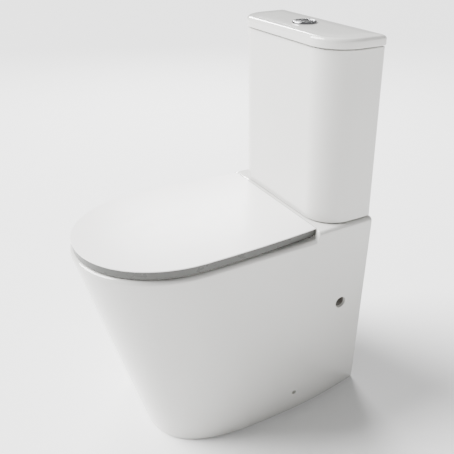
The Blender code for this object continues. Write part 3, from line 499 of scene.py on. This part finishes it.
def build_tank():
    rings = [tank_ring(inset, TANK_Z + drop) for inset, drop in reversed(rounded(.0015))]
    rings += [tank_ring(inset, TANK_TOP_Z - drop) for inset, drop in rounded(.0010)]
    inside = [tank_ring(TANK_WALL + inset, TANK_FLOOR_Z + drop)
              for inset, drop in reversed(rounded(.010))]
    inside.append(tank_ring(TANK_WALL, TANK_TOP_Z + .01))
    cut = [loft(inside), cylinder(at(0, VALVE_OUT, TANK_Z), TANK_VALVE_R, .05),
           cylinder(at(INLET_X, INLET_OUT, TANK_Z), TANK_INLET_R, .05)]
    cut += [cylinder(at(hand * BOLT_X, BOLT_OUT, TANK_Z), TANK_BOLT_R, .05, segments=32)
            for hand in (-1, 1)]
    piece("cistern_china", combined(loft(rings), [("DIFFERENCE", cut)]), "glazed_china",
          "pan_assembly", "cistern_tank")


def cover_ring(inset, z):
    return ring_at(tank_outline(TANK_HALF + COVER_OVERHANG - inset, TANK_DEPTH + COVER_FRONT - inset,
                                TANK_CORNER + COVER_FRONT - inset, inset), z)


def build_cover():
    seat_z = TANK_TOP_Z + GAP
    slab_z = seat_z + SHADOW_GAP + .0006
    rings = [cover_ring(PLINTH, seat_z), cover_ring(PLINTH, slab_z),
             cover_ring(COVER_LOWER_EDGE, slab_z)]
    rings += [cover_ring(inset, slab_z + drop)
              for inset, drop in reversed(rounded(COVER_LOWER_EDGE, 5))][1:]
    rings += [cover_ring(inset, COVER_TOP_Z - COVER_CROWN - drop * .95)
              for inset, drop in rounded(COVER_EDGE, 12)]
    for inset in (.012, .018, .026, .034):
        fall = COVER_CROWN * (1 - smooth((inset - COVER_EDGE) / .026)) ** 1.4
        rings.append(cover_ring(inset, COVER_TOP_Z - fall))
    pocket = [cover_ring(.022, seat_z - .01), cover_ring(.024, COVER_TOP_Z - COVER_THICK)]
    mesh = combined(loft(rings), [("DIFFERENCE", [
        loft(pocket), cylinder(at(0, VALVE_OUT, COVER_TOP_Z), COVER_HOLE_R, .05)])])
    piece("cistern_cover_china", mesh, "glazed_china", "cistern_cover", "cistern_lid", angle=28)


# --- seat and lid --------------------------------------------------------------------------------
def build_seat():
    inset = LID_WALL + .0018
    rings = [ring_at(lid_outline(inset + extra, SEAT_REAR), SEAT_LOW + drop)
             for extra, drop in reversed(rounded(.0025, 5))]
    rings += [ring_at(lid_outline(inset + extra, SEAT_REAR), SEAT_HIGH - drop)
              for extra, drop in rounded(.0035, 6)]
    opening = [(SEAT_LOW - .005, 0.0), (SEAT_HIGH - .008, 0.0), (SEAT_HIGH - .0055, .0004),
               (SEAT_HIGH - .003, .0014), (SEAT_HIGH - .0012, .0034), (SEAT_HIGH - .0002, .0062),
               (SEAT_HIGH + .0010, .0100)]
    half, rear, front = SEAT_OPENING
    steps = [("DIFFERENCE", [loft([ring_at(egg(half + grow, rear - grow, front + grow), z)
                                   for z, grow in opening])])]
    for hand in (-1, 1):
        inner, outer = sorted((hand * (HINGE_X + KNUCKLE_NEAR), hand * (HINGE_X + KNUCKLE_FAR)))
        middle = at((inner + outer) / 2, AXIS_OUT, AXIS_Z)
        steps.append(("UNION", [cylinder(middle, KNUCKLE_R, outer - inner, "X", 48),
                                box((inner, AXIS_OUT, AXIS_Z - .0035),
                                    (outer, SEAT_REAR + .008, AXIS_Z + .0020))]))
        steps.append(("DIFFERENCE", [cylinder(middle, PIN_R + GAP, .03, "X", 32)]))
    piece("seat_moulding", combined(loft(rings), steps), "seat_plastic", "seat", "seat_ring")


def build_lid():
    split = LID_TOP_Z - LID_PLATE
    core = lid_outline(EDGE_SET_BACK)
    rings = [ring_at(core, LID_SKIRT_Z + GAP), ring_at(core, split)]
    rings += [ring_at(lid_outline(extra), LID_TOP_Z - drop)
              for extra, drop in [(.0001, LID_PLATE)] + rounded(.0009, 6)]
    plate = loft(rings)
    hollow = loft([ring_at(lid_outline(LID_WALL + .0012, LID_REAR - .01), z)
                   for z in (LID_SKIRT_Z - .01, LID_TOP_Z - LID_WALL)])
    steps = [("DIFFERENCE", [hollow])]
    for hand in (-1, 1):
        inner, outer = sorted((hand * (HINGE_X - KNUCKLE_FAR), hand * (HINGE_X - KNUCKLE_NEAR)))
        middle = at((inner + outer) / 2, AXIS_OUT, AXIS_Z)
        steps.append(("UNION", [cylinder(middle, KNUCKLE_R, outer - inner, "X", 48),
                                box((inner, AXIS_OUT - .0045, AXIS_Z),
                                    (outer, AXIS_OUT + .0045, LID_TOP_Z - .002))]))
        steps.append(("DIFFERENCE", [cylinder(middle, PIN_R + GAP, .03, "X", 32)]))
    corner = ((-.2, LID_REAR - .02, LID_SKIRT_Z - .01), (.2, LID_REAR + .006, SKIRT_REAR_Z))
    steps.append(("DIFFERENCE", [box(*corner)]))
    piece("lid_moulding", combined(plate, steps), "seat_plastic", "lid", "seat_lid")

    # the lid's edge strip in the near-black finish: painted shade under the lid's edge
    skirt = []
    for share in (0.0, .25, .5, .75, 1.0):
        z = LID_SKIRT_Z + (split - GAP - LID_SKIRT_Z) * share
        skirt.append(ring_at(lid_outline(.0003 + .0014 * (1 - share)), z))
    wall = loft([ring_at(lid_outline(LID_WALL + .0006, LID_REAR - .01), z)
                 for z in (LID_SKIRT_Z - .01, split + .01)])
    piece("lid_edge_painted_shade", combined(loft(skirt), [("DIFFERENCE", [wall, box(*corner)])]), "seat_edge_painted_shade",
          "lid", "seat_lid")


# --- flush button --------------------------------------------------------------------------------
def build_spring(name, x, out, high):
    """A wire coil round the push rod, built at rest length and fixed to the cistern cover; it does
    not shorten as the button goes down.
    """
    low = BEZEL_FLOOR + GAP
    points = []
    for i in range(COIL_TURNS * COIL_STEPS + 1):
        a = 2 * math.pi * i / COIL_STEPS
        share = smooth(i / (COIL_TURNS * COIL_STEPS))
        points.append((x + COIL_R * math.cos(a), out + COIL_R * math.sin(a),
                       low + COIL_WIRE + (high - low - 2 * COIL_WIRE) * share))
    made = piece(name + "_coil", tube(points, COIL_WIRE, 2), "stainless_steel", "cistern_cover",
                 name)
    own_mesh(made)


def build_button():
    centre, top = at(0, VALVE_OUT, 0), COVER_TOP_Z
    lip = BEZEL_LIP - BEZEL_INNER
    rim = [(BEZEL_INNER + lip * (1 - math.cos(a)), top + .0030 + .0010 * math.sin(a))
           for a in (math.pi / 2 * i / 6 for i in range(7))]
    fall = [(BEZEL_LIP + .0032 * math.sin(a), top + GAP + .0037 * math.cos(a))
            for a in (math.pi / 2 * i / 10 for i in range(1, 11))]
    under, floor_under = top - BEZEL_DEEP, BEZEL_FLOOR - .0025
    profile = rim + fall + [(BEZEL_SHANK, top + GAP), (BEZEL_SHANK, under), (BEZEL_STEM, under),
                            (BEZEL_STEM, floor_under), (0, floor_under), (0, BEZEL_FLOOR),
                            (BEZEL_INNER, BEZEL_FLOOR)]
    holes = [cylinder(at(hand * ROD_X, VALVE_OUT + hand * ROD_SHIFT, BEZEL_FLOOR), ROD_HOLE_R, .03,
                      segments=32) for hand in (-1, 1)]
    piece("button_bezel_chrome", combined(turned(profile, centre), [("DIFFERENCE", holes)]),
          "chrome_plate", "cistern_cover", "button_bezel")
    for name, hand, body in (("full_flush_button", -1, "full_button"),
                             ("half_flush_button", 1, "half_button")):
        x, out = hand * ROD_X, VALVE_OUT + hand * ROD_SHIFT
        low = BUTTON_TOP - BUTTON_THICK
        dome = [(0, low), (BUTTON_R, low)]
        dome += [(BUTTON_R - BUTTON_EDGE * (1 - math.cos(a)),
                  BUTTON_TOP - .0016 + BUTTON_EDGE * math.sin(a))
                 for a in (math.pi / 2 * i / 6 for i in range(7))]
        dome += [((BUTTON_R - BUTTON_EDGE) * (1 - t), BUTTON_TOP - .0007 * (1 - t) ** 2)
                 for t in (.15, .3, .5, .7, .85, 1.0)]
        other = sorted((hand * BUTTON_SPLIT, -hand * .05))
        mesh = combined(turned(dome, centre), [
            ("DIFFERENCE", [box((other[0], 0.0, low - .01), (other[1], .12, BUTTON_TOP + .01))]),
            ("UNION", [cylinder(at(x, out, (low + .002 + ROD_TIP_Z) / 2), ROD_R,
                                low + .002 - ROD_TIP_Z, segments=24)])])
        piece(name + "_chrome", mesh, "chrome_plate", body, name)
        build_spring(name.replace("button", "spring"), x, out,
                     low - GAP)


def finish_frame():
    """Give every CAD piece that stays visible the finish of its slot."""
    slots = {part["node"]: part["material_slot"] for part in frame["record"]["subparts"]}
    for name, node in frame["nodes"].items():
        node.data.materials.clear()
        node.data.materials.append(FINISHES[slots[name]])


# --- studio --------------------------------------------------------------------------------------
def floor():
    size = 30.0
    corners = [(x, y, 0) for x, y in ((-size, -size), (size, -size), (size, size), (-size, size))]
    mesh = bpy.data.meshes.new("floor")
    mesh.from_pydata(corners, [], [(0, 1, 2, 3)])
    ground = bpy.data.objects.new("floor", mesh)
    bpy.context.scene.collection.objects.link(ground)
    mesh.materials.append(material("floor_white", (.94, .94, .935), .75, tint=.004, wear=.03,
                                   bump=.02))


def area(name, place, target, wide, tall, power):
    lamp = bpy.data.lights.new(name, "AREA")
    lamp.shape, lamp.size, lamp.size_y = "RECTANGLE", wide, tall
    lamp.energy = power
    holder = bpy.data.objects.new(name, lamp)
    holder.location = place
    holder.visible_camera = False
    holder.rotation_euler = (Vector(target) - Vector(place)).to_track_quat("-Z", "Y").to_euler()
    bpy.context.scene.collection.objects.link(holder)


def sun(name, away, strength, spread):
    lamp = bpy.data.lights.new(name, "SUN")
    lamp.energy = strength
    lamp.angle = math.radians(spread)
    holder = bpy.data.objects.new(name, lamp)
    holder.rotation_euler = (-Vector(away)).to_track_quat("-Z", "Y").to_euler()
    bpy.context.scene.collection.objects.link(holder)


def camera():
    turn, rise, reach = math.radians(60.12), math.radians(26.08), 1.3275
    target = at(.0045, .1943, .4416)
    away = Vector((math.sin(turn) * math.cos(rise), -math.cos(turn) * math.cos(rise),
                   math.sin(rise)))
    view = bpy.data.cameras.new("camera")
    view.sensor_width = 36
    view.lens = 48.81
    view.shift_x = view.shift_y = -.0485
    holder = bpy.data.objects.new("camera", view)
    holder.location = target + away * reach
    holder.rotation_euler = (-away).to_track_quat("-Z", "Y").to_euler()
    bpy.context.scene.collection.objects.link(holder)
    bpy.context.scene.camera = holder


finish_frame()
build_pan()
build_tank()
build_cover()
build_seat()
build_lid()
build_button()

floor()
world = bpy.data.worlds.new("studio")
bpy.context.scene.world = world
world.use_nodes = True
world.node_tree.nodes["Background"].inputs["Color"].default_value = (1, 1, 1, 1)
world.node_tree.nodes["Background"].inputs["Strength"].default_value = .38
sun("key", (-.52, -.50, .70), 12.5, 40)
area("sheen", (-2.6, 1.12, 1.97), (0, -.05, .44), 1.3, .7, 100)
camera()
